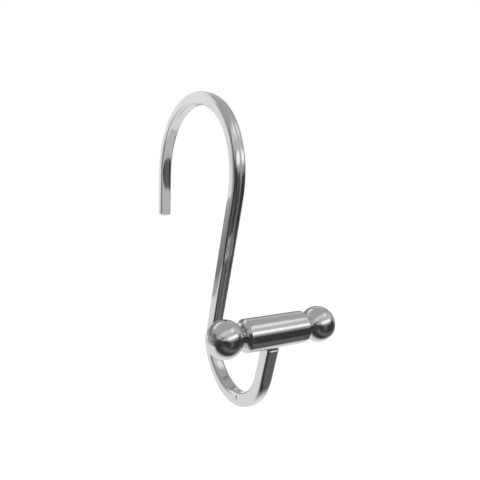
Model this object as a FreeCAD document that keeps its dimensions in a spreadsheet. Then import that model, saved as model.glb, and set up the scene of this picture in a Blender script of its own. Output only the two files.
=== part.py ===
"""A shower curtain hook: a bent square wire with a tall upper loop, which carries a turned crossbar.

Millimetres, +Z up. The origin is the hook's seat, at the middle of the crown's inner face. The crossbar
runs along X, the front of the hook is towards -Y, and the wire lies in the plane X = 0.
"""
import FreeCAD, Part
import math
import os

import Sketcher
from FreeCAD import Placement, Rotation, Vector

SIZES = {
    # the wire: drawn square, with softened corners
    "wire_side": 3.2,
    "wire_corner": 1.0,
    # upper loop: a shallow crown between two shoulders, and the back leg with its rounded tip
    "crown_radius": 25.0,
    "crown_half_angle": 29.0,
    "shoulder_radius": 18.5,
    "back_leg": 13.0,
    "tip_round": 0.8,
    # front leg, leaning back as it goes down
    "front_lean": 13.5,
    "front_leg": 35.8,
    # lower loop: a tight heel, a wide bowl and the leg that carries the crossbar
    "heel_radius": 6.0,
    "heel_turn": 39.5,
    "bowl_radius": 12.2,
    "end_lean": 14.0,
    "end_leg": 11.4,
    # crossbar, turned from one bar
    "barrel_diameter": 6.7,
    "barrel_length": 15.1,
    "barrel_chamfer": 0.65,
    "neck_diameter": 3.2,
    "ball_diameter": 7.6,
    "ball_spacing": 22.5,
    # the joint: a spigot on the wire's end in a drilled and spot-faced hole
    "seat_height": 2.6,
    "spigot_diameter": 2.2,
    "spigot_length": 2.6,
    "spigot_bevel": 0.25,
    "fit_gap": 0.04,
    "hole_end_gap": 0.3,
    "spot_face_gap": 0.1,
}

document = FreeCAD.newDocument("curtain_hook")
sheet = document.addObject("Spreadsheet::Sheet", "sizes")
for row, (alias, number) in enumerate(SIZES.items(), start=1):
    sheet.set(f"A{row}", alias)
    sheet.set(f"B{row}", str(number))
    sheet.setAlias(f"B{row}", alias)
document.recompute()


def size(alias):
    return float(sheet.get(alias))


def angle(alias):
    return math.radians(size(alias))


def new_body(name):
    body = document.addObject("PartDesign::Body", name)
    body.Label = name
    return body


def new_sketch(body, name, role):
    """A sketch on one of its body's own origin planes."""
    sketch = body.newObject("Sketcher::SketchObject", name)
    plane = next(feature for feature in body.Origin.OriginFeatures if feature.Role == role)
    sketch.AttachmentSupport = (plane, [""])
    sketch.MapMode = "FlatFace"
    return sketch


def fix(sketch, kind, *places):
    """Adds a constraint that has no value."""
    sketch.addConstraint(Sketcher.Constraint(kind, *places))


def bind(sketch, expression, kind, *places):
    """Adds a constraint whose value comes from the sheet."""
    value = FreeCAD.Units.Quantity(sketch.evalExpression(expression)).Value
    value = math.radians(value) if kind == "Angle" else value
    index = sketch.addConstraint(Sketcher.Constraint(kind, *places, value))
    sketch.setExpression(f"Constraints[{index}]", expression)


def measure(sketch, name, kind, *places):
    """Adds a named reading that drives nothing, for other features to take their place from."""
    index = sketch.addConstraint(Sketcher.Constraint(kind, *places, 1.0))
    sketch.setDriving(index, False)
    sketch.renameConstraint(index, name)


def add_circle(sketch, diameter):
    """A circle round the sketch's origin."""
    circle = sketch.addGeometry(Part.Circle(Vector(), Vector(0, 0, 1), 1.0))
    fix(sketch, "Coincident", circle, 3, -1, 1)
    bind(sketch, diameter, "Diameter", circle)


def edges_where(shape, test):
    """The names of the edges whose every vertex passes the test."""
    return [
        f"Edge{number}"
        for number, edge in enumerate(shape.Edges, start=1)
        if all(test(vertex.Point) for vertex in edge.Vertexes)
    ]


class Walk:
    """Lays lines and arcs end to end in a sketch, each tangent to the one before it."""

    def __init__(self, sketch, heading):
        self.sketch = sketch
        self.point = Vector()
        self.heading = heading
        self.last_end = None

    def join(self, geometry, start, end):
        if self.last_end:
            fix(self.sketch, "Tangent", *self.last_end, geometry, start)
        self.last_end = (geometry, end)
        return geometry

    def line(self, length, construction=False):
        along = Vector(math.cos(self.heading), math.sin(self.heading), 0)
        finish = self.point + along * length
        geometry = self.sketch.addGeometry(Part.LineSegment(self.point, finish), construction)
        self.point = finish
        return self.join(geometry, 1, 2)

    def arc(self, radius, bend):
        """A positive bend goes to the left of the way the walk heads."""
        side = math.copysign(1, bend)
        to_centre = Vector(-math.sin(self.heading), math.cos(self.heading), 0) * side * radius
        centre = self.point + to_centre
        before = math.atan2(-to_centre.y, -to_centre.x)
        after = before + bend
        circle = Part.Circle(centre, Vector(0, 0, 1), radius)
        geometry = self.sketch.addGeometry(Part.ArcOfCircle(circle, min(before, after), max(before, after)))
        self.point = centre + Vector(math.cos(after), math.sin(after), 0) * radius
        self.heading += bend
        start, end = (1, 2) if side > 0 else (2, 1)
        return self.join(geometry, start, end)


# Hook wire: one square wire, bent in one plane from the back leg's tip to the crossbar.
hook_wire = new_body("hook_wire")

# its centre line, in Y and Z, which the walk lays from the tip; the constraints then set it in place
path = new_sketch(hook_wire, "wire_path", "YZ_Plane")
quarter = math.pi / 2
bowl_bend = math.pi + angle("front_lean") - angle("heel_turn") - angle("end_lean")
walk = Walk(path, heading=quarter)
back_leg = walk.line(size("back_leg"))
back_shoulder = walk.arc(size("shoulder_radius"), quarter - angle("crown_half_angle"))
crown = walk.arc(size("crown_radius"), 2 * angle("crown_half_angle"))
front_shoulder = walk.arc(size("shoulder_radius"), quarter - angle("crown_half_angle") + angle("front_lean"))
front_leg = walk.line(size("front_leg"))
heel = walk.arc(size("heel_radius"), -angle("heel_turn"))
bowl = walk.arc(size("bowl_radius"), -bowl_bend)
end_leg = walk.line(size("end_leg") - size("seat_height"))
seat_line = walk.line(size("seat_height"), construction=True)

fix(path, "Vertical", back_leg)
fix(path, "PointOnObject", crown, 3, -2)
bind(path, "sizes.crown_radius - sizes.wire_side / 2", "DistanceY", crown, 3, -1, 1)
bind(path, "sizes.back_leg", "Distance", back_leg)
bind(path, "sizes.shoulder_radius", "Radius", back_shoulder)
bind(path, "(90 - sizes.crown_half_angle) * 1 deg", "Angle", back_shoulder)
bind(path, "sizes.crown_radius", "Radius", crown)
bind(path, "2 * sizes.crown_half_angle * 1 deg", "Angle", crown)
bind(path, "sizes.shoulder_radius", "Radius", front_shoulder)
bind(path, "(90 - sizes.crown_half_angle + sizes.front_lean) * 1 deg", "Angle", front_shoulder)
bind(path, "sizes.front_leg", "Distance", front_leg)
bind(path, "sizes.heel_radius", "Radius", heel)
bind(path, "sizes.heel_turn * 1 deg", "Angle", heel)
bind(path, "sizes.bowl_radius", "Radius", bowl)
bind(path, "(180 + sizes.front_lean - sizes.heel_turn - sizes.end_lean) * 1 deg", "Angle", bowl)
bind(path, "sizes.end_leg - sizes.seat_height", "Distance", end_leg)
bind(path, "sizes.seat_height", "Distance", seat_line)
measure(path, "tip_y", "DistanceX", -1, 1, back_leg, 1)
measure(path, "tip_z", "DistanceY", -1, 1, back_leg, 1)
measure(path, "seat_y", "DistanceX", -1, 1, end_leg, 2)
measure(path, "seat_z", "DistanceY", -1, 1, end_leg, 2)
measure(path, "bar_y", "DistanceX", -1, 1, seat_line, 2)
measure(path, "bar_z", "DistanceY", -1, 1, seat_line, 2)

# its section at the tip: a square whose corners are quarter circles
section = new_sketch(hook_wire, "wire_section", "XY_Plane")
section.setExpression("AttachmentOffset.Base.y", "wire_path.Constraints.tip_y")
section.setExpression("AttachmentOffset.Base.z", "wire_path.Constraints.tip_z")
half_side = size("wire_side") / 2
outline = Walk(section, heading=0)
outline.point = Vector(size("wire_corner") - half_side, -half_side, 0)
flats, corners = [], []
for _ in range(4):
    flats.append(outline.line(size("wire_side") - 2 * size("wire_corner")))
    corners.append(outline.arc(size("wire_corner"), quarter))
fix(section, "Tangent", *outline.last_end, flats[0], 1)
bottom, right, top, left = flats
for flat in (bottom, top):
    fix(section, "Horizontal", flat)
for flat in (right, left):
    fix(section, "Vertical", flat)
bind(section, "sizes.wire_corner", "Radius", corners[0])
for corner in corners[1:]:
    fix(section, "Equal", corners[0], corner)
bind(section, "sizes.wire_side / 2", "DistanceX", -1, 1, right, 1)
bind(section, "sizes.wire_side / 2", "DistanceX", left, 1, -1, 1)
bind(section, "sizes.wire_side / 2", "DistanceY", -1, 1, top, 1)
bind(section, "sizes.wire_side / 2", "DistanceY", bottom, 1, -1, 1)

bent_wire = hook_wire.newObject("PartDesign::AdditivePipe", "bent_wire")
bent_wire.Profile = section
bent_wire.Spine = (path, [f"Edge{number + 1}" for number in range(end_leg + 1)])
document.recompute()

# the spigot, turned on the wire's end and standing on its shoulder
spigot_circle = new_sketch(hook_wire, "spigot_circle", "XY_Plane")
spigot_circle.AttachmentOffset = Placement(Vector(), Rotation(Vector(1, 0, 0), size("end_lean")))
spigot_circle.setExpression("AttachmentOffset.Base.y", "wire_path.Constraints.seat_y")
spigot_circle.setExpression("AttachmentOffset.Base.z", "wire_path.Constraints.seat_z")
spigot_circle.setExpression("AttachmentOffset.Rotation.Angle", "sizes.end_lean * 1 deg")
add_circle(spigot_circle, "sizes.spigot_diameter")
spigot = hook_wire.newObject("PartDesign::Pad", "spigot")
spigot.Profile = spigot_circle
spigot.setExpression("Length", "sizes.spigot_length")
document.recompute()

# the spigot's bevelled end, found on the plane that its length reaches, and the back leg's rounded tip
seat = Vector(0, path.getDatum("seat_y").Value, path.getDatum("seat_z").Value)
end_heading = Vector(0, -math.sin(angle("end_lean")), math.cos(angle("end_lean")))
spigot_bevel = hook_wire.newObject("PartDesign::Chamfer", "spigot_bevel")
spigot_bevel.Base = (
    spigot,
    edges_where(
        spigot.Shape,
        lambda point: (point - seat).Length < size("spigot_diameter") + size("spigot_length")
        and abs((point - seat).dot(end_heading) - size("spigot_length")) < 1e-4,
    ),
)
spigot_bevel.setExpression("Size", "sizes.spigot_bevel")
document.recompute()

tip_height = path.getDatum("tip_z").Value
tip_round = hook_wire.newObject("PartDesign::Fillet", "tip_round")
tip_round.Base = (
    spigot_bevel,
    edges_where(spigot_bevel.Shape, lambda point: point.y > 0 and abs(point.z - tip_height) < 1e-4),
)
tip_round.setExpression("Radius", "sizes.tip_round")

# Crossbar: a barrel between two balls, turned in one piece; its own frame has its axis along X.
crossbar = new_body("crossbar")
crossbar.Placement = Placement(Vector(), Rotation(Vector(1, 0, 0), size("end_lean")))
crossbar.setExpression("Placement.Base.y", "wire_path.Constraints.bar_y")
crossbar.setExpression("Placement.Base.z", "wire_path.Constraints.bar_z")
crossbar.setExpression("Placement.Rotation.Angle", "sizes.end_lean * 1 deg")

# one half of it, from the middle out: barrel, chamfer, end face, neck and ball
turning = new_sketch(crossbar, "turning", "XZ_Plane")
barrel_end, barrel_radius = size("barrel_length") / 2, size("barrel_diameter") / 2
neck_radius, ball_radius = size("neck_diameter") / 2, size("ball_diameter") / 2
ball_centre = size("ball_spacing") / 2
neck_angle = math.pi - math.asin(neck_radius / ball_radius)
neck_end = ball_centre + ball_radius * math.cos(neck_angle)
profile = [
    Vector(0, 0, 0),
    Vector(0, barrel_radius, 0),
    Vector(barrel_end - size("barrel_chamfer"), barrel_radius, 0),
    Vector(barrel_end, barrel_radius - size("barrel_chamfer"), 0),
    Vector(barrel_end, neck_radius, 0),
    Vector(neck_end, neck_radius, 0),
]
middle, barrel, chamfer, end_face, neck = (
    turning.addGeometry(Part.LineSegment(start, end)) for start, end in zip(profile, profile[1:])
)
ball_circle = Part.Circle(Vector(ball_centre, 0, 0), Vector(0, 0, 1), ball_radius)
ball = turning.addGeometry(Part.ArcOfCircle(ball_circle, 0, neck_angle))
axis = turning.addGeometry(Part.LineSegment(Vector(ball_centre + ball_radius, 0, 0), Vector()))
for line, following in ((middle, barrel), (barrel, chamfer), (chamfer, end_face), (end_face, neck)):
    fix(turning, "Coincident", line, 2, following, 1)
fix(turning, "Coincident", neck, 2, ball, 2)
fix(turning, "Coincident", ball, 1, axis, 1)
fix(turning, "Coincident", axis, 2, middle, 1)
fix(turning, "Coincident", axis, 2, -1, 1)
for line in (middle, end_face):
    fix(turning, "Vertical", line)
for line in (barrel, neck, axis):
    fix(turning, "Horizontal", line)
fix(turning, "PointOnObject", ball, 3, -1)
bind(turning, "sizes.barrel_diameter / 2", "DistanceY", middle, 1, middle, 2)
bind(turning, "sizes.barrel_length / 2", "DistanceX", -1, 1, end_face, 1)
bind(turning, "sizes.barrel_chamfer", "DistanceX", chamfer, 1, chamfer, 2)
bind(turning, "sizes.barrel_chamfer", "DistanceY", chamfer, 2, chamfer, 1)
bind(turning, "sizes.neck_diameter / 2", "DistanceY", -1, 1, neck, 1)
bind(turning, "sizes.ball_spacing / 2", "DistanceX", -1, 1, ball, 3)
bind(turning, "sizes.ball_diameter / 2", "Radius", ball)

turned_half = crossbar.newObject("PartDesign::Revolution", "turned_half")
turned_half.Profile = turning
turned_half.ReferenceAxis = (turning, ["H_Axis"])
turned_half.Angle = 360
document.recompute()

turned_bar = crossbar.newObject("PartDesign::Mirrored", "turned_bar")
turned_bar.Originals = [turned_half]
turned_bar.MirrorPlane = (turning, ["V_Axis"])
crossbar.Tip = turned_bar
document.recompute()

# the drilled hole for the spigot, spot-faced flat for the wire's shoulder
hole_centre = new_sketch(crossbar, "hole_centre", "XY_Plane")
hole_centre.setExpression("AttachmentOffset.Base.z", "-sizes.barrel_diameter / 2")
add_circle(hole_centre, "sizes.spigot_diameter")
document.recompute()

wire_corners = "(sqrt(2) * (sizes.wire_side - 2 * sizes.wire_corner) + 2 * sizes.wire_corner)"
spigot_hole = crossbar.newObject("PartDesign::Hole", "spigot_hole")
spigot_hole.Profile = hole_centre
spigot_hole.Reversed = True
spigot_hole.Threaded = False
spigot_hole.DepthType = "Dimension"
spigot_hole.DrillPoint = "Angled"
spigot_hole.HoleCutType = "Counterbore"
spigot_hole.HoleCutCustomValues = True
spigot_hole.setExpression("Diameter", "sizes.spigot_diameter + 2 * sizes.fit_gap")
spigot_hole.setExpression(
    "Depth", "sizes.barrel_diameter / 2 - sizes.seat_height + sizes.spigot_length + sizes.hole_end_gap"
)
spigot_hole.setExpression("HoleCutDiameter", f"{wire_corners} + 2 * sizes.spot_face_gap")
spigot_hole.setExpression("HoleCutDepth", "sizes.barrel_diameter / 2 - sizes.seat_height")
document.recompute()

print("hook_wire volume", round(hook_wire.Shape.Volume, 2))
print("crossbar volume", round(crossbar.Shape.Volume, 2))

# every object has to be sound before anything is written
for item in document.Objects:
    if "Invalid" in item.State or "Error" in item.State:
        raise RuntimeError(f"{item.Name} did not build: {item.State}")

os.makedirs("parts", exist_ok=True)
for body in (hook_wire, crossbar):
    if body.Shape.isNull() or not body.Shape.isValid() or len(body.Shape.Solids) != 1:
        raise RuntimeError(f"{body.Label} is not one valid solid")
    body.Shape.exportStep(f"parts/{body.Label}.step")
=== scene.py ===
import math

import bmesh
import bpy
from mathutils import Matrix, Vector


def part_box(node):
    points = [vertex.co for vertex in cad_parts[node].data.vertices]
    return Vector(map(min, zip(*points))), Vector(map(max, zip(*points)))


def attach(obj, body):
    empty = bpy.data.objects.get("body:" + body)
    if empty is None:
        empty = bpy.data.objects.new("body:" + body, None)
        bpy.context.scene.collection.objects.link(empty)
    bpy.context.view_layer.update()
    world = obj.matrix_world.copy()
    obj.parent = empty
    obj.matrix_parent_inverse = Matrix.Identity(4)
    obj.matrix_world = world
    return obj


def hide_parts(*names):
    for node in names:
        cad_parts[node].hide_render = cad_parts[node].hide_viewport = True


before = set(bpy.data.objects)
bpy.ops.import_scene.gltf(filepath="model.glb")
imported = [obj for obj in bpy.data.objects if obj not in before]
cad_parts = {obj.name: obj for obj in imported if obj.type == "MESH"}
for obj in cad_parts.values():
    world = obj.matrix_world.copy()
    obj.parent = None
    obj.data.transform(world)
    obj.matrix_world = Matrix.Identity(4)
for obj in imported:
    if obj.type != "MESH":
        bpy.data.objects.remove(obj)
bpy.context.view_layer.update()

# Hook wire. One length of 3.2 mm square steel wire with softened corners, bent cold in one plane
# round formers: up the back leg, over the crown, down the front leg, and round the heel and bowl.
# Its upper end is turned down to a spigot, and it is plated together with the crossbar.
MM = 0.001
WIRE_SIDE = 3.2 * MM
WIRE_CORNER = 1.0 * MM
CORNER_STEPS = 8
FLAT_CUTS = 5
TIP_ROUND = 0.8 * MM
TIP_STEPS = 6
SHOULDER_BEVEL = 0.12 * MM
SHOULDER_INSET = 0.2 * MM
STEP_BACK = 1.25 * MM
STEP_IN = 0.12 * MM
SPIGOT_RADIUS = 1.1 * MM
SPIGOT_LENGTH = 2.6 * MM
SPIGOT_BEVEL = 0.25 * MM
CROWN_RADIUS = 25.0 * MM
CROWN_HALF = 29.0
SHOULDER_RADIUS = 18.5 * MM
BACK_LEG = 13.0 * MM
FRONT_LEAN = 13.5
FRONT_LEG = 35.8 * MM
HEEL_RADIUS = 6.0 * MM
HEEL_TURN = 39.5
BOWL_RADIUS = 12.2 * MM
END_LEAN = 14.0
END_LEG = 8.8 * MM
BEND_STEP = 1.0
NICK_CENTRE = Vector((-WIRE_SIDE / 2, -27.9 * MM, -66.45 * MM))
NICK_HEADING = Vector((0, -0.35, -1)).normalized()
NICK_LENGTH = 0.85 * MM
NICK_WIDTH = 0.28 * MM
NICK_DEPTH = 0.2 * MM
NICK_REACH = 1.1 * MM
NICK_SIDE = -0.9 * MM


def rounded_square(side, corner):
    """The wire's section, as one face in X and Y."""
    mesh = bmesh.new()
    bmesh.ops.create_grid(mesh, x_segments=1, y_segments=1, size=side / 2)
    bmesh.ops.bevel(
        mesh,
        geom=mesh.verts[:],
        offset=corner,
        offset_type="OFFSET",
        segments=CORNER_STEPS,
        profile=0.5,
        affect="VERTICES",
        material=-1,
    )
    flats = [edge for edge in mesh.edges if edge.calc_length() > corner / 2]
    bmesh.ops.subdivide_edges(mesh, edges=flats, cuts=FLAT_CUTS)
    drawn = mesh.verts.layers.float_vector.new("drawn")
    for vert in mesh.verts:
        vert[drawn] = vert.co
    mesh.faces.ensure_lookup_table()
    return mesh


def advance(mesh, end, length):
    """Notes at the end face how far along the wire it lies, for the lines that the die leaves."""
    drawn = mesh.verts.layers.float_vector["drawn"]
    for vert in end.verts:
        vert[drawn] += Vector((0, 0, length))


def open_up(mesh, end):
    """Deletes a former end face that the wire now runs on past, but not the tip's own."""
    if len(end.edges[0].link_faces) > 2:
        bmesh.ops.delete(mesh, geom=[end], context="FACES_ONLY")


def run(mesh, end, heading, length):
    """Draws the wire on in a straight run, and returns its new end face."""
    made = bmesh.ops.extrude_face_region(mesh, geom=[end])["geom"]
    verts = [item for item in made if isinstance(item, bmesh.types.BMVert)]
    bmesh.ops.translate(mesh, verts=verts, vec=heading * length)
    open_up(mesh, end)
    end = next(item for item in made if isinstance(item, bmesh.types.BMFace))
    advance(mesh, end, length)
    return end


def bend(mesh, end, heading, radius, degrees):
    """Bends the wire on round a former, and returns its new end face and heading."""
    side = math.copysign(1, degrees)
    centre = end.calc_center_median() + Matrix.Rotation(side * math.pi / 2, 3, "X") @ heading * radius
    steps = round(abs(degrees) / BEND_STEP)
    for step in range(steps):
        made = bmesh.ops.spin(
            mesh,
            geom=[end],
            cent=centre,
            axis=(1, 0, 0),
            angle=math.radians(degrees / steps),
            steps=1,
        )["geom_last"]
        open_up(mesh, end)
        end = next(item for item in made if isinstance(item, bmesh.types.BMFace))
        advance(mesh, end, radius * abs(math.radians(degrees)) / steps)
    return end, Matrix.Rotation(math.radians(degrees), 3, "X") @ heading


def soften(mesh, sharp_above=30.0):
    """Shades a mesh smooth, but for the edges where its faces meet at a sharp angle."""
    for face in mesh.faces:
        face.smooth = True
    for edge in mesh.edges:
        edge.smooth = edge.calc_face_angle(0) < math.radians(sharp_above)


def finished(mesh, name):
    """Points a piece's faces outwards and makes it an object."""
    bmesh.ops.recalc_face_normals(mesh, faces=mesh.faces[:])
    soften(mesh)
    data = bpy.data.meshes.new(name)
    mesh.to_mesh(data)
    mesh.free()
    piece = bpy.data.objects.new(name, data)
    bpy.context.scene.collection.objects.link(piece)
    return piece


wire = rounded_square(WIRE_SIDE, WIRE_CORNER)
crown_rise = (CROWN_RADIUS - SHOULDER_RADIUS) * math.cos(math.radians(CROWN_HALF))
crown_reach = (CROWN_RADIUS - SHOULDER_RADIUS) * math.sin(math.radians(CROWN_HALF))
tip = Vector((
    0,
    crown_reach + SHOULDER_RADIUS,
    WIRE_SIDE / 2 - CROWN_RADIUS + crown_rise - BACK_LEG,
))
bmesh.ops.translate(wire, verts=wire.verts[:], vec=tip)
tip_rim = wire.edges[:]
heading = Vector((0, 0, 1))
end = run(wire, wire.faces[0], heading, BACK_LEG)
for radius, degrees, straight in (
    (SHOULDER_RADIUS, 90 - CROWN_HALF, 0),
    (CROWN_RADIUS, 2 * CROWN_HALF, 0),
    (SHOULDER_RADIUS, 90 - CROWN_HALF + FRONT_LEAN, FRONT_LEG),
    (HEEL_RADIUS, -HEEL_TURN, 0),
    (BOWL_RADIUS, -(180 + FRONT_LEAN - HEEL_TURN - END_LEAN), END_LEG - STEP_BACK),
):
    end, heading = bend(wire, end, heading, radius, degrees)
    if straight:
        end = run(wire, end, heading, straight)

# The end steps in a little below the crossbar, and is turned to a shoulder and a spigot.
bmesh.ops.inset_region(wire, faces=[end], thickness=STEP_IN, use_even_offset=True)
bmesh.ops.translate(wire, verts=end.verts[:], vec=heading * STEP_IN)
end = run(wire, end, heading, STEP_BACK - STEP_IN)

bmesh.ops.inset_region(wire, faces=[end], thickness=SHOULDER_BEVEL, use_even_offset=True)
centre = end.calc_center_median()
bmesh.ops.inset_region(wire, faces=[end], thickness=SHOULDER_INSET, use_even_offset=True)
for vert in end.verts:
    vert.co = centre + (vert.co - centre).normalized() * SPIGOT_RADIUS
end = run(wire, end, heading, SPIGOT_LENGTH - SPIGOT_BEVEL)
end = run(wire, end, heading, SPIGOT_BEVEL)
for vert in end.verts:
    spoke = vert.co - end.calc_center_median()
    vert.co -= spoke.normalized() * SPIGOT_BEVEL
bmesh.ops.bevel(
    wire,
    geom=tip_rim,
    offset=TIP_ROUND,
    offset_type="OFFSET",
    segments=TIP_STEPS,
    profile=0.5,
    affect="EDGES",
    material=-1,
)

# A small nick runs down from the bowl's inner edge on the left face.
nick_across = NICK_HEADING.cross(Vector((1, 0, 0)))
struck = [
    edge for edge in wire.edges
    if all((vert.co - NICK_CENTRE).length < NICK_REACH and vert.co.x < NICK_SIDE for vert in edge.verts)
]
bmesh.ops.subdivide_edges(wire, edges=struck, cuts=3, use_grid_fill=True)
for vert in wire.verts:
    offset = vert.co - NICK_CENTRE
    if offset.length < NICK_REACH:
        along = offset.dot(NICK_HEADING) / NICK_LENGTH
        across = offset.dot(nick_across) / NICK_WIDTH
        vert.co.x += NICK_DEPTH * math.exp(-4 * (along ** 2 + across ** 2))

hook_wire = finished(wire, "bent_wire")
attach(hook_wire, "root")
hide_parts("hook_wire")

# The plating's two tones, its gloss, and where its marks begin and end
BRIGHT_PLATE = (0.74, 0.74, 0.745, 1)
HAZY_PLATE = (0.69, 0.69, 0.70, 1)
LEAST_ROUGH = 0.08
MOST_ROUGH = 0.16
SMEAR_FROM, SMEAR_TO = 0.35, 0.7
SCORE_FROM, SCORE_TO = 0.50, 0.56
DIE_LINE_ROUGH = 0.5
DIE_LINE_HALF = 0.45
DIE_LINE_SIDE = 1.4
DIE_LINE_END = 4.7


def plating_marks():
    """What polishing leaves in chrome plate: fine lines one way, a faint swell and uneven gloss."""
    group = bpy.data.node_groups.new("plating_marks", "ShaderNodeTree")
    for title in ("Lines", "Surface"):
        group.interface.new_socket(title, in_out="INPUT", socket_type="NodeSocketVector")
    for title in ("Line Height", "Swell Height", "Die Line"):
        group.interface.new_socket(title, in_out="INPUT", socket_type="NodeSocketFloat")
    for title in ("Height", "Roughness"):
        group.interface.new_socket(title, in_out="OUTPUT", socket_type="NodeSocketFloat")
    group.interface.new_socket("Colour", in_out="OUTPUT", socket_type="NodeSocketColor")
    nodes, links = group.nodes, group.links
    given = nodes.new("NodeGroupInput").outputs
    taken = nodes.new("NodeGroupOutput").inputs

    def cloud(vector, scale, detail):
        """A noise on one of the group's two vectors."""
        noise = nodes.new("ShaderNodeTexNoise")
        noise.inputs["Scale"].default_value = scale
        noise.inputs["Detail"].default_value = detail
        links.new(given[vector], noise.inputs["Vector"])
        return noise.outputs["Fac"]

    def times(value, amount):
        """A value scaled by another."""
        product = nodes.new("ShaderNodeMath")
        product.operation = "MULTIPLY"
        links.new(value, product.inputs[0])
        links.new(amount, product.inputs[1])
        return product.outputs[0]

    def plus(value, amount):
        """The sum of two values."""
        total = nodes.new("ShaderNodeMath")
        total.operation = "ADD"
        links.new(value, total.inputs[0])
        links.new(amount, total.inputs[1])
        return total.outputs[0]

    scores = nodes.new("ShaderNodeMapRange")
    scores.interpolation_type = "SMOOTHSTEP"
    scores.inputs["From Min"].default_value = SCORE_FROM
    scores.inputs["From Max"].default_value = SCORE_TO
    links.new(cloud("Lines", 0.6, 1.0), scores.inputs["Value"])
    lines = plus(cloud("Lines", 1.5, 2.0), scores.outputs[0])
    swell = times(cloud("Surface", 0.35, 1.0), given["Swell Height"])
    links.new(plus(times(lines, given["Line Height"]), swell), taken["Height"])

    smears = cloud("Surface", 0.9, 5.0)
    gloss = nodes.new("ShaderNodeMapRange")
    gloss.inputs["From Min"].default_value = SMEAR_FROM
    gloss.inputs["From Max"].default_value = SMEAR_TO
    gloss.inputs["To Min"].default_value = LEAST_ROUGH
    gloss.inputs["To Max"].default_value = MOST_ROUGH
    links.new(smears, gloss.inputs["Value"])
    section = nodes.new("ShaderNodeSeparateXYZ")
    links.new(given["Lines"], section.inputs[0])
    beside = nodes.new("ShaderNodeMath")
    beside.operation = "ABSOLUTE"
    links.new(section.outputs["X"], beside.inputs[0])
    dull = nodes.new("ShaderNodeMapRange")
    dull.interpolation_type = "SMOOTHSTEP"
    dull.inputs["From Min"].default_value = 0
    dull.inputs["From Max"].default_value = DIE_LINE_HALF
    dull.inputs["To Min"].default_value = DIE_LINE_ROUGH
    dull.inputs["To Max"].default_value = 0
    links.new(beside.outputs[0], dull.inputs["Value"])
    die_line = times(dull.outputs[0], given["Die Line"])
    for axis, operation, limit in (
        ("Y", "GREATER_THAN", DIE_LINE_SIDE),
        ("Z", "LESS_THAN", DIE_LINE_END),
    ):
        kept = nodes.new("ShaderNodeMath")
        kept.operation = operation
        kept.inputs[1].default_value = limit
        links.new(section.outputs[axis], kept.inputs[0])
        die_line = times(die_line, kept.outputs[0])
    links.new(plus(gloss.outputs[0], die_line), taken["Roughness"])
    haze = nodes.new("ShaderNodeMix")
    haze.data_type = "RGBA"
    haze.inputs["A"].default_value = BRIGHT_PLATE
    haze.inputs["B"].default_value = HAZY_PLATE
    links.new(smears, haze.inputs["Factor"])
    links.new(haze.outputs["Result"], taken["Colour"])
    return group


def plated(piece, name, source, line_scale, surface_scale, placed, line_height, swell_height, die_line):
    """Chrome plate whose lines follow one direction of the source vector, which is in metres."""
    material = bpy.data.materials.new(name)
    material.use_nodes = True
    nodes, links = material.node_tree.nodes, material.node_tree.links
    chrome = nodes["Principled BSDF"]
    chrome.inputs["Metallic"].default_value = 1
    marks = nodes.new("ShaderNodeGroup")
    marks.node_tree = marks_group
    marks.inputs["Line Height"].default_value = line_height
    marks.inputs["Swell Height"].default_value = swell_height
    marks.inputs["Die Line"].default_value = die_line
    if source == "drawn":
        attribute = nodes.new("ShaderNodeAttribute")
        attribute.attribute_name = source
        vector = attribute.outputs["Vector"]
    else:
        vector = nodes.new("ShaderNodeTexCoord").outputs[source]
    for socket, scale in (("Lines", line_scale), ("Surface", surface_scale)):
        mapping = nodes.new("ShaderNodeMapping")
        mapping.vector_type = "TEXTURE"
        mapping.inputs["Location"].default_value = placed.to_translation()
        mapping.inputs["Rotation"].default_value = placed.to_euler()
        mapping.inputs["Scale"].default_value = [MM / part for part in scale]
        links.new(vector, mapping.inputs["Vector"])
        links.new(mapping.outputs["Vector"], marks.inputs[socket])
    relief = nodes.new("ShaderNodeBump")
    relief.inputs["Strength"].default_value = 1
    relief.inputs["Distance"].default_value = MM
    links.new(marks.outputs["Height"], relief.inputs["Height"])
    links.new(relief.outputs["Normal"], chrome.inputs["Normal"])
    links.new(marks.outputs["Colour"], chrome.inputs["Base Color"])
    links.new(marks.outputs["Roughness"], chrome.inputs["Roughness"])
    piece.data.materials.append(material)


marks_group = plating_marks()
plated(
    hook_wire,
    "plated_wire",
    source="drawn",
    line_scale=(1, 1, 0.04),
    surface_scale=(1, 1, 0.12),
    placed=Matrix.Identity(4),
    line_height=0.007,
    swell_height=0.17,
    die_line=1,
)

# Crossbar. One bar turned on a lathe to a chamfered barrel with a neck and a ball at each end,
# cross-drilled and spot-faced underneath for the wire's spigot, and polished before plating.
BARREL_RADIUS = 3.35 * MM
BARREL_HALF = 7.55 * MM
BARREL_CHAMFER = 0.65 * MM
CHAMFER_ROUND = 0.1 * MM
BARREL_CUTS = 24
NECK_RADIUS = 1.6 * MM
BALL_RADIUS = 3.8 * MM
BALL_CENTRE = 11.25 * MM
BALL_STEPS = 48
SEAT_HEIGHT = 2.6 * MM
SPOT_RADIUS = 1.95 * MM
SPOT_DEPTH = 2.0 * MM
HOLE_RADIUS = 1.14 * MM
HOLE_END = 2.9 * MM
POINT_HALF = 59.0
DRILL_STEPS = 96
TURN_STEPS = 240
MERGED = 1e-6
MERGED_FINE = 1e-7

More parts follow.
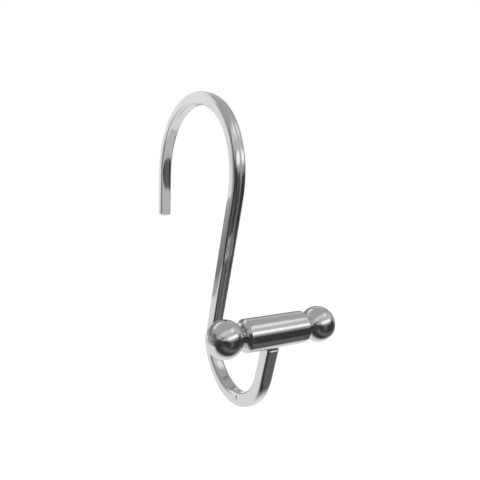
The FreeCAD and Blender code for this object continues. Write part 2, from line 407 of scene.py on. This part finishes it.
bar = bmesh.new()
outline = [
    bar.verts.new((0, 0, BARREL_RADIUS)),
    bar.verts.new((BARREL_HALF - BARREL_CHAMFER, 0, BARREL_RADIUS)),
    bar.verts.new((BARREL_HALF, 0, BARREL_RADIUS - BARREL_CHAMFER)),
    bar.verts.new((BARREL_HALF, 0, NECK_RADIUS)),
]
for start, stop in zip(outline, outline[1:]):
    bar.edges.new((start, stop))
bmesh.ops.bevel(
    bar,
    geom=outline[1:3],
    offset=CHAMFER_ROUND,
    offset_type="OFFSET",
    segments=3,
    profile=0.5,
    affect="VERTICES",
    material=-1,
)
neck_end = BALL_CENTRE - math.sqrt(BALL_RADIUS ** 2 - NECK_RADIUS ** 2)
foot = bar.verts.new((neck_end, 0, NECK_RADIUS))
bar.edges.new((outline[3], foot))
ball_turn = math.pi - math.asin(NECK_RADIUS / BALL_RADIUS)
bmesh.ops.spin(
    bar,
    geom=[foot],
    cent=(BALL_CENTRE, 0, 0),
    axis=(0, 1, 0),
    angle=ball_turn,
    steps=BALL_STEPS,
)
barrel_side = [edge for edge in bar.edges if edge.calc_length() > BARREL_HALF / 2]
bmesh.ops.subdivide_edges(bar, edges=barrel_side, cuts=BARREL_CUTS)
half = bar.verts[:] + bar.edges[:]
bmesh.ops.mirror(bar, geom=half, merge_dist=MERGED_FINE, axis="X")
bmesh.ops.spin(
    bar,
    geom=bar.verts[:] + bar.edges[:],
    cent=(0, 0, 0),
    axis=(1, 0, 0),
    angle=2 * math.pi,
    steps=TURN_STEPS,
    use_merge=True,
)
bmesh.ops.remove_doubles(bar, verts=bar.verts[:], dist=MERGED)

# The hole and its spot face are cut as one turned shape, with the drill's point at its end.
drill = bmesh.new()
profile = [
    drill.verts.new(point) for point in (
        (0, 0, -SEAT_HEIGHT - SPOT_DEPTH),
        (SPOT_RADIUS, 0, -SEAT_HEIGHT - SPOT_DEPTH),
        (SPOT_RADIUS, 0, -SEAT_HEIGHT),
        (HOLE_RADIUS, 0, -SEAT_HEIGHT),
        (HOLE_RADIUS, 0, HOLE_END - SEAT_HEIGHT),
        (0, 0, HOLE_END - SEAT_HEIGHT + HOLE_RADIUS / math.tan(math.radians(POINT_HALF))),
    )
]
for start, stop in zip(profile, profile[1:]):
    drill.edges.new((start, stop))
bmesh.ops.spin(
    drill,
    geom=drill.verts[:] + drill.edges[:],
    cent=(0, 0, 0),
    axis=(0, 0, 1),
    angle=2 * math.pi,
    steps=DRILL_STEPS,
    use_merge=True,
)
bmesh.ops.remove_doubles(drill, verts=drill.verts[:], dist=MERGED)
low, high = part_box("crossbar")
bar_centre = (low + high) / 2
placing = Matrix.Translation(bar_centre) @ Matrix.Rotation(math.radians(END_LEAN), 4, "X")
for mesh in (bar, drill):
    bmesh.ops.transform(mesh, matrix=placing, verts=mesh.verts[:])
crossbar = finished(bar, "turned_bar")
spot_face = finished(drill, "spot_face")
cut = crossbar.modifiers.new("spot_face", "BOOLEAN")
cut.operation = "DIFFERENCE"
cut.solver = "EXACT"
cut.object = spot_face
graph = bpy.context.evaluated_depsgraph_get()
carved = bpy.data.meshes.new_from_object(crossbar.evaluated_get(graph))
crossbar.modifiers.clear()
crossbar.data = carved
bar = bmesh.new()
bar.from_mesh(carved)
bmesh.ops.remove_doubles(bar, verts=bar.verts[:], dist=MERGED_FINE)
soften(bar)
bar.to_mesh(carved)
bar.free()
bpy.data.objects.remove(spot_face)
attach(crossbar, "root")
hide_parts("crossbar")

plated(
    crossbar,
    "plated_bar",
    source="Object",
    line_scale=(1, 0.05, 0.05),
    surface_scale=(0.5, 0.5, 0.5),
    placed=placing,
    line_height=0.003,
    swell_height=0.03,
    die_line=0,
)

# Floor and studio. A pale floor, and what the plating alone shows, each glowing as a painted reflection
# rather than lit: a white paper under the hook, a rolled card between its legs with painted light and
# shade in place of the rod the hook hangs from, and a grey room with windows in front and above, a
# white wall behind to the left, and shade in front below the windows.
FLOOR_HALF = 1.1
FLOOR_DROP = 0.45
FLOOR_PALE = (0.9, 0.9, 0.9, 1)
FLOOR_LIFT = (0.6, 0.6, 0.6, 1)
PAPER_HALF = 0.4
PAPER_DROP = 0.13
PAPER_GLOW = (0.9, 0.9, 0.9, 1)
PAPER_CORNER = Vector((0.104, -0.040, 0))
PAPER_FADE = 0.026
CARD_RADIUS = 0.013
CARD_LENGTH = 0.8
CARD_CENTRE = Vector((0, -0.0013, -0.0374))
CARD_TURN = 5.3
CARD_TILT = 94.0
CARD_SHADING = -37.0
ROOM_GREY = 0.46
ROOM_RADIUS = 20.0
LAMP_SIZE = 0.6
LAMP_POWER = 2.0
LAMP_PLACE = (0, -0.1, 0.7)


def staged(mesh, name):
    """A part of the studio that only metal shows, glowing as a painted reflection, and the nodes of its
    glow.
    """
    piece = finished(mesh, name)
    paint = bpy.data.materials.new(name)
    paint.use_nodes = True
    nodes = paint.node_tree.nodes
    surface = nodes["Principled BSDF"]
    surface.inputs["Base Color"].default_value = (0, 0, 0, 1)
    surface.inputs["Specular IOR Level"].default_value = 0
    surface.inputs["Emission Strength"].default_value = 1
    piece.data.materials.append(paint)
    piece.visible_camera = False
    piece.visible_diffuse = False
    piece.visible_shadow = False
    return nodes, paint.node_tree.links, surface.inputs


floor_mesh = bmesh.new()
bmesh.ops.create_grid(floor_mesh, x_segments=1, y_segments=1, size=FLOOR_HALF)
bmesh.ops.translate(floor_mesh, verts=floor_mesh.verts[:], vec=(0, 0, -FLOOR_DROP))
floor = finished(floor_mesh, "floor")
floor.visible_glossy = False
floor_paint = bpy.data.materials.new("floor")
floor_paint.use_nodes = True
nodes, links = floor_paint.node_tree.nodes, floor_paint.node_tree.links
matt = nodes["Principled BSDF"]
matt.inputs["Base Color"].default_value = FLOOR_PALE
matt.inputs["Roughness"].default_value = 0.9
matt.inputs["Emission Color"].default_value = FLOOR_LIFT
seen = nodes.new("ShaderNodeLightPath")
links.new(seen.outputs["Is Camera Ray"], matt.inputs["Emission Strength"])
floor.data.materials.append(floor_paint)

# The paper glows white only in the plating, a painted reflection of a lit sheet below the hook, fading out
# towards two of its edges.
paper = bmesh.new()
bmesh.ops.create_grid(paper, x_segments=1, y_segments=1, size=PAPER_HALF)
bmesh.ops.translate(paper, verts=paper.verts[:], vec=(PAPER_HALF / 2, PAPER_HALF / 2, -PAPER_DROP))
nodes, links, glow = staged(paper, "paper")
glow["Emission Color"].default_value = PAPER_GLOW
both = nodes.new("ShaderNodeMath")
both.operation = "MULTIPLY"
for outward, side in zip(((0.03, -1, 0), (0.85, -0.53, 0)), both.inputs):
    edge = nodes.new("ShaderNodeMapping")
    edge.inputs["Location"].default_value = -PAPER_CORNER
    links.new(nodes.new("ShaderNodeTexCoord").outputs["Object"], edge.inputs["Vector"])
    out = nodes.new("ShaderNodeVectorMath")
    out.operation = "DOT_PRODUCT"
    out.inputs[1].default_value = outward
    links.new(edge.outputs["Vector"], out.inputs[0])
    inside = nodes.new("ShaderNodeMapRange")
    inside.interpolation_type = "SMOOTHSTEP"
    inside.inputs["From Min"].default_value = -PAPER_FADE
    inside.inputs["From Max"].default_value = PAPER_FADE
    inside.inputs["To Min"].default_value = 1
    inside.inputs["To Max"].default_value = 0
    links.new(out.outputs["Value"], inside.inputs["Value"])
    links.new(inside.outputs[0], side)
links.new(both.outputs[0], glow["Alpha"])

# The rolled card glows only in the plating, as a painted reflection of the rod the hook hangs from, which
# is left out.
card = bmesh.new()
bmesh.ops.create_cone(
    card,
    cap_ends=True,
    segments=96,
    radius1=CARD_RADIUS,
    radius2=CARD_RADIUS,
    depth=CARD_LENGTH,
    matrix=(
        Matrix.Translation(CARD_CENTRE)
        @ Matrix.Rotation(math.radians(CARD_TURN), 4, "Z")
        @ Matrix.Rotation(math.radians(CARD_TILT), 4, "Y")
    ),
)
nodes, links, glow = staged(card, "painted_rod_reflection")
turned = nodes.new("ShaderNodeMapping")
turned.vector_type = "TEXTURE"
turned.inputs["Location"].default_value = CARD_CENTRE
turned.inputs["Rotation"].default_value = (math.radians(CARD_SHADING), 0, 0)
links.new(nodes.new("ShaderNodeTexCoord").outputs["Object"], turned.inputs["Vector"])
place = nodes.new("ShaderNodeSeparateXYZ")
links.new(turned.outputs["Vector"], place.inputs[0])
# Painted light and shade on the card's glow: brightest on its upper back where light falls, darkest round
# its front, and lighter again underneath where the paper would light it.
brightness = None
for low_z, high_z, low_glow, high_glow in (
    (-0.0125, -0.0105, 0.45, 0.23),
    (-0.0105, 0.007, 0, 0.23),
    (0.007, 0.0125, 0, 0.16),
):
    fade = nodes.new("ShaderNodeMapRange")
    fade.inputs["From Min"].default_value = low_z
    fade.inputs["From Max"].default_value = high_z
    fade.inputs["To Min"].default_value = low_glow
    fade.inputs["To Max"].default_value = high_glow
    links.new(place.outputs["Z"], fade.inputs["Value"])
    if brightness is None:
        brightness = fade.outputs[0]
    else:
        total = nodes.new("ShaderNodeMath")
        links.new(brightness, total.inputs[0])
        links.new(fade.outputs[0], total.inputs[1])
        brightness = total.outputs[0]
links.new(brightness, glow["Emission Color"])


def soft_patch():
    """How far a direction lies inside a soft-edged patch round +Z, by its two angles in degrees."""
    group = bpy.data.node_groups.new("soft_patch", "ShaderNodeTree")
    group.interface.new_socket("Direction", in_out="INPUT", socket_type="NodeSocketVector")
    for title in ("Half Width", "Half Height", "Soft Width", "Soft Height"):
        group.interface.new_socket(title, in_out="INPUT", socket_type="NodeSocketFloat")
    group.interface.new_socket("Mask", in_out="OUTPUT", socket_type="NodeSocketFloat")
    nodes, links = group.nodes, group.links
    given = nodes.new("NodeGroupInput").outputs
    parts = nodes.new("ShaderNodeSeparateXYZ")
    links.new(given["Direction"], parts.inputs[0])

    def math_of(operation, *values):
        """The result of one sum on the values."""
        step = nodes.new("ShaderNodeMath")
        step.operation = operation
        for socket, value in zip(step.inputs, values):
            links.new(value, socket)
        return step.outputs[0]

    across = math_of("ARCTAN2", parts.outputs["X"], parts.outputs["Z"])
    along = math_of("ARCSINE", parts.outputs["Y"])
    masks = []
    for angle, half, soft in ((across, "Half Width", "Soft Width"), (along, "Half Height", "Soft Height")):
        fade = nodes.new("ShaderNodeMapRange")
        fade.interpolation_type = "SMOOTHSTEP"
        links.new(math_of("ABSOLUTE", math_of("DEGREES", angle)), fade.inputs["Value"])
        links.new(math_of("SUBTRACT", given[half], given[soft]), fade.inputs["From Min"])
        links.new(math_of("ADD", given[half], given[soft]), fade.inputs["From Max"])
        fade.inputs["To Min"].default_value = 1
        fade.inputs["To Max"].default_value = 0
        masks.append(fade.outputs[0])
    links.new(math_of("MULTIPLY", *masks), nodes.new("NodeGroupOutput").inputs["Mask"])
    return group


room = bmesh.new()
bmesh.ops.create_icosphere(room, subdivisions=4, radius=ROOM_RADIUS)
nodes, links, glow = staged(room, "room")
direction = nodes.new("ShaderNodeVectorMath")
direction.operation = "NORMALIZE"
links.new(nodes.new("ShaderNodeTexCoord").outputs["Object"], direction.inputs[0])
direction = direction.outputs[0]
patch_group = soft_patch()
grey = nodes.new("ShaderNodeValue")
grey.outputs[0].default_value = ROOM_GREY
brightness = grey.outputs[0]
# Each patch is a painted reflection in the room's glow: the brighter ones are windows and pale walls, and
# the darker ones are painted shade, mostly in front below the windows and on the left.
for azimuth, elevation, half_width, half_height, soft_width, soft_height, tilt, level in (
    (170, 60, 60, 9, 25, 9, 0, 0.85),
    (150, 38, 45, 20, 15, 12, 0, 0.6),
    (124, 54, 13, 6, 7, 5, 0, 1.05),
    (-95, 12, 28, 22, 9, 9, 0, 0.14),
    (175, -41, 85, 51, 12, 6, 0, 0.05),
    (-135, 12, 18, 18, 6, 6, 0, 0.06),
    (150, -47, 60, 11, 20, 5, 0, 0.14),
    (164, -9, 9, 16, 6, 9, 0, 0.14),
    (-115, 28, 16, 9, 5, 5, 0, 0.55),
    (152, 11, 28, 5, 8, 4, 0, 0.36),
    (186, 22, 34, 5.5, 12, 5, 0, 0.65),
    (150, 25, 34, 7, 8, 4.5, 3, 1.35),
    (-12, 15, 24, 33, 6, 6, 0, 0.97),
    (38, 25, 12, 12, 5, 5, 0, 0.62),
):
    turn, lift, lean = (math.radians(angle) for angle in (azimuth, elevation, tilt))
    centre = Vector((math.sin(turn) * math.cos(lift), math.cos(turn) * math.cos(lift), math.sin(lift)))
    level_way = Vector((math.cos(turn), -math.sin(turn), 0))
    down_way = centre.cross(level_way)
    rows = (
        math.cos(lean) * level_way - math.sin(lean) * down_way,
        math.sin(lean) * level_way + math.cos(lean) * down_way,
        centre,
    )
    mapping = nodes.new("ShaderNodeMapping")
    mapping.vector_type = "VECTOR"
    mapping.inputs["Rotation"].default_value = Matrix(rows).to_euler()
    links.new(direction, mapping.inputs["Vector"])
    patch = nodes.new("ShaderNodeGroup")
    patch.node_tree = patch_group
    links.new(mapping.outputs["Vector"], patch.inputs["Direction"])
    patch.inputs["Half Width"].default_value = half_width
    patch.inputs["Half Height"].default_value = half_height
    patch.inputs["Soft Width"].default_value = soft_width
    patch.inputs["Soft Height"].default_value = soft_height
    mixed = nodes.new("ShaderNodeMix")
    mixed.inputs["B"].default_value = level
    links.new(patch.outputs["Mask"], mixed.inputs["Factor"])
    links.new(brightness, mixed.inputs["A"])
    brightness = mixed.outputs["Result"]
links.new(brightness, glow["Emission Color"])

world = bpy.data.worlds.new("studio")
bpy.context.scene.world = world
world.use_nodes = True
nodes, links = world.node_tree.nodes, world.node_tree.links
around = nodes["Background"]
around.inputs["Color"].default_value = (ROOM_GREY, ROOM_GREY, ROOM_GREY, 1)
backdrop = nodes.new("ShaderNodeBackground")
backdrop.inputs["Color"].default_value = (1, 1, 1, 1)
seen = nodes.new("ShaderNodeLightPath")
shown = seen.outputs["Is Camera Ray"]
for ray in ("Is Glossy Ray", "Is Transmission Ray"):
    either = nodes.new("ShaderNodeMath")
    either.operation = "MAXIMUM"
    links.new(shown, either.inputs[0])
    links.new(seen.outputs[ray], either.inputs[1])
    shown = either.outputs[0]
mixed = nodes.new("ShaderNodeMixShader")
links.new(shown, mixed.inputs[0])
links.new(around.outputs[0], mixed.inputs[1])
links.new(backdrop.outputs[0], mixed.inputs[2])
links.new(mixed.outputs[0], nodes["World Output"].inputs["Surface"])

lamp_data = bpy.data.lights.new("overhead", "AREA")
lamp_data.size = LAMP_SIZE
lamp_data.energy = LAMP_POWER
lamp = bpy.data.objects.new("overhead", lamp_data)
bpy.context.scene.collection.objects.link(lamp)
lamp.location = LAMP_PLACE
lamp.visible_glossy = False

# Camera. It stands in front of the hook and to its left, above the crossbar, and looks across
# both loops and a little down, so that the whole hook shows.
LENS = 35.648
SENSOR_WIDTH = 36
PLACE = (-0.053434, -0.113904, -0.014445)
YAW, PITCH, ROLL = 30.712, -9.051, 2.446
camera_data = bpy.data.cameras.new("camera")
camera_data.sensor_width = SENSOR_WIDTH
camera_data.lens = LENS
camera_data.clip_start = 0.005
camera = bpy.data.objects.new("camera", camera_data)
bpy.context.scene.collection.objects.link(camera)
camera.matrix_world = (
    Matrix.Translation(PLACE)
    @ Matrix.Rotation(math.radians(-YAW), 4, "Z")
    @ Matrix.Rotation(math.radians(90 + PITCH), 4, "X")
    @ Matrix.Rotation(math.radians(ROLL), 4, "Z")
)
bpy.context.scene.camera = camera
bpy.context.scene.view_settings.view_transform = "Standard"
